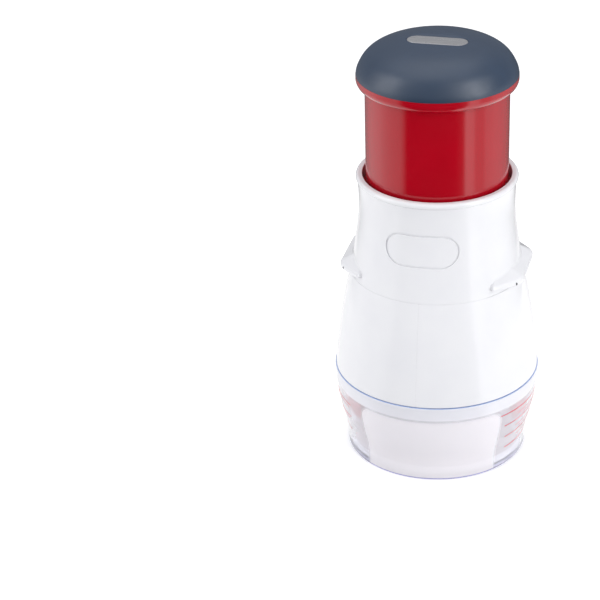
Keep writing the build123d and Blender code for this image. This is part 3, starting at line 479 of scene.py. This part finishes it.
def seam_strips():
    """Floor of the fine groove in which the two shells meet, front and back."""
    run, rise = SHELL_TOP[0] - SHELL_FOOT[0], SHELL_TOP[1] - SHELL_FOOT[1]
    slant = math.hypot(run, rise)
    normal = (rise / slant, -run / slant)
    near, deep = SEAM_FLOOR
    for name, body, side in (("seam_front", "shell_right", -1), ("seam_back", "shell_left", 1)):
        rings = []
        for step in range(SEAM_STEPS + 1):
            t = SEAM_START + SEAM_RUN * step / SEAM_STEPS
            ring = []
            for depth, half in ((near, -1), (near, 1), (deep, 1), (deep, -1)):
                out = SHELL_BULGE * 4 * t * (1 - t) - depth
                radius = SHELL_FOOT[0] + run * t + normal[0] * out
                height = SHELL_FOOT[1] + rise * t + normal[1] * out
                ring.append((half * SEAM_HALF, side * radius, height))
            rings.append(ring)
        bm = bmesh.new()
        sweep(bm, rings)
        new_piece(name, bm, "white_gloss", body)


def groove_strips():
    """Floor of the fine groove under the housing, away from the ears."""
    bm = bmesh.new()
    (low, high), (inner, outer) = GROOVE_Z, GROOVE_R
    for middle in (0, 180):
        rings = []
        for step in range(GROOVE_STEPS + 1):
            turn = math.radians(middle - GROOVE_REACH + 2 * GROOVE_REACH * step / GROOVE_STEPS)
            corners = ((inner, low), (outer, low), (outer, high), (inner, high))
            rings.append([on_circle(radius, turn, level) for radius, level in corners])
        sweep(bm, rings)
    new_piece("seam_level", bm, "white_gloss", "head")


seam_strips()
groove_strips()


def pressed_spring():
    """The return spring between the housing's floor and the knob's core, which shortens there in the real
    chopper: here a copy of its mesh, riding on the head.
    """
    node = nodes["return_spring"]
    mesh = node.data.copy()
    mesh.name = "spring_coil"
    mesh.materials.clear()
    piece = add_piece("spring_coil", mesh, "spring_steel", "head", node.matrix_world)
    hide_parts("return_spring")
    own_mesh(piece)


pressed_spring()


# ------------------------------------------------------------------ camera
LENS_MM = 125.04
SENSOR_MM = 36.0
NEAR_CLIP = 0.05
VIEW_FROM = (0.18640, -0.92498, 0.57550)
VIEW_FORWARD = (-0.2386, 0.8528, -0.4645)
VIEW_RIGHT = (0.96302, 0.26943, 0.0)
VIEW_ROLL = math.radians(1.814)


def camera():
    data = bpy.data.cameras.new("camera")
    data.lens = LENS_MM
    data.sensor_width = SENSOR_MM
    data.sensor_fit = "HORIZONTAL"
    data.clip_start = NEAR_CLIP
    obj = bpy.data.objects.new("camera", data)
    bpy.context.scene.collection.objects.link(obj)
    forward = Vector(VIEW_FORWARD).normalized()
    right = Vector(VIEW_RIGHT).normalized()
    up = right.cross(forward)
    rolled_right = math.cos(VIEW_ROLL) * right - math.sin(VIEW_ROLL) * up
    rolled_up = math.cos(VIEW_ROLL) * up + math.sin(VIEW_ROLL) * right
    turn = Matrix((rolled_right, rolled_up, -forward)).transposed().to_4x4()
    obj.matrix_world = Matrix.Translation(VIEW_FROM) @ turn
    bpy.context.scene.camera = obj


camera()


# ------------------------------------------------------------------ lights
# name, place, what it faces, size, watts
LIGHTS = (
    ("left_box", (-1.1, -0.45, 0.7), (0, 0, 0.12), (0.6, 1.2), 5.4),
    ("right_box", (1.15, -0.5, 0.7), (0, 0, 0.12), (0.6, 1.2), 8.4),
    ("top_box", (-0.1, 0.25, 1.5), (0, 0, 0.1), (1.4, 1.4), 4.2),
)

for light_name, place, target, size, power in LIGHTS:
    lamp = bpy.data.lights.new(light_name, "AREA")
    lamp.shape = "RECTANGLE"
    lamp.size, lamp.size_y = size
    lamp.energy = power
    light = bpy.data.objects.new(light_name, lamp)
    bpy.context.scene.collection.objects.link(light)
    light.location = place
    light.rotation_euler = (Vector(target) - Vector(place)).to_track_quat("-Z", "Y").to_euler()


# ------------------------------------------------------------------ room
ROOM_COLOUR = (0.955, 0.965, 1.0, 1.0)
ROOM_LIGHT = 0.62
# what gloss shows of the room: sine of the direction's rise, from and to, and the strength there
ROOM_RISE = (0.3, 0.8, 0.34, 0.46)


def room():
    """White where it is seen or seen through, a soft light elsewhere, dimmer in gloss."""
    world = bpy.data.worlds.new("studio")
    bpy.context.scene.world = world
    world.use_nodes = True
    n = Nodes(world.node_tree, "ShaderNodeOutputWorld")
    rise = n.split(n.new("ShaderNodeTexCoord").outputs["Generated"])[2]
    strength = n.blend(n.ray("Glossy"), ROOM_LIGHT, n.span(rise, *ROOM_RISE))
    light = n.glow(strength, "ShaderNodeBackground", ROOM_COLOUR)
    white = n.glow(1.0, "ShaderNodeBackground")
    seen = n.maths("MAXIMUM", n.ray("Camera"), n.ray("Transmission"))
    n.finish(n.pick(seen, light, white))


room()


# ------------------------------------------------------------------ floor
FLOOR_SIDE = 6.0
FLOOR_GREYS = ((0.80, 0.80, 0.80, 1), (0.82, 0.82, 0.82, 1))
FLOOR_NOISE = (4, 2)
FLOOR_SEEN = 0.42                # glow that brings the floor up to white, seen and seen through
FLOOR_THROUGH = 0.75
# how bright the floor is in gloss, by direction and value: near the chopper, and farther away
FLOOR_SCALE = 2.0                # keeps the ramp's values below 1
FLOOR_FAR = (0.295, 0.315)
FRONT = ((-0.8, 0.8), (-0.62, 0.01), (0.7, 0.01), (0.9, 0.2), (0.99, 1.4))
NEAR_FLOOR = (
    (-3.14, 0.74), (-2.75, 0.76), (-2.4, 1.05), (-1.4, 1.05), *FRONT,
    (1.4, 1.2), (2.5, 1.2), (2.95, 0.8), (3.14, 0.75),
)
FAR_FLOOR = (
    (-3.1, 0.1), (-2.59, 0.18), (-2.24, 0.4), (-1.9, 0.75), (-1.55, 1.0), *FRONT,
    (1.2, 1.2), (1.27, 0.75), (1.5, 0.65), (1.62, 0.9), (1.94, 0.78), (2.29, 0.5), (2.64, 0.27), (3.0, 0.1),
)


def floor():
    """Pale floor that keeps the shadow, and shows in gloss as white at the sides and dim in front."""
    mesh = bpy.data.meshes.new("floor")
    corners = [(x * FLOOR_SIDE, y * FLOOR_SIDE, 0.0) for x, y in ((-1, -1), (1, -1), (1, 1), (-1, 1))]
    mesh.from_pydata(corners, [], [(0, 1, 2, 3)])
    obj = bpy.data.objects.new("floor", mesh)
    bpy.context.scene.collection.objects.link(obj)
    mat, n = new_material("floor_look")
    matt = n.new("ShaderNodeBsdfDiffuse")
    n.put(matt.inputs["Color"], n.mix(n.noise(n.place(), *FLOOR_NOISE), *FLOOR_GREYS))
    seen = n.maths("MULTIPLY", n.ray("Camera"), FLOOR_SEEN)
    through = n.maths("MULTIPLY", n.ray("Transmission"), FLOOR_THROUGH)
    both = n.new("ShaderNodeAddShader")
    n.put(both.inputs[0], matt.outputs[0])
    n.put(both.inputs[1], n.glow(n.maths("ADD", seen, through)))
    x, y, _ = n.split(n.new("ShaderNodeNewGeometry").outputs["Position"])
    turn = n.turn(x, y)
    far = n.span(n.length(x, y), *FLOOR_FAR, smooth=True)
    gloss = n.mix(far, *[n.around(turn, stops, FLOOR_SCALE) for stops in (NEAR_FLOOR, FAR_FLOOR)])
    mirrored = n.glow(n.maths("MULTIPLY", gloss, FLOOR_SCALE))
    n.finish(n.pick(n.ray("Glossy"), both.outputs[0], mirrored))
    mesh.materials.append(mat)


floor()

bpy.context.scene.view_settings.view_transform = "Standard"
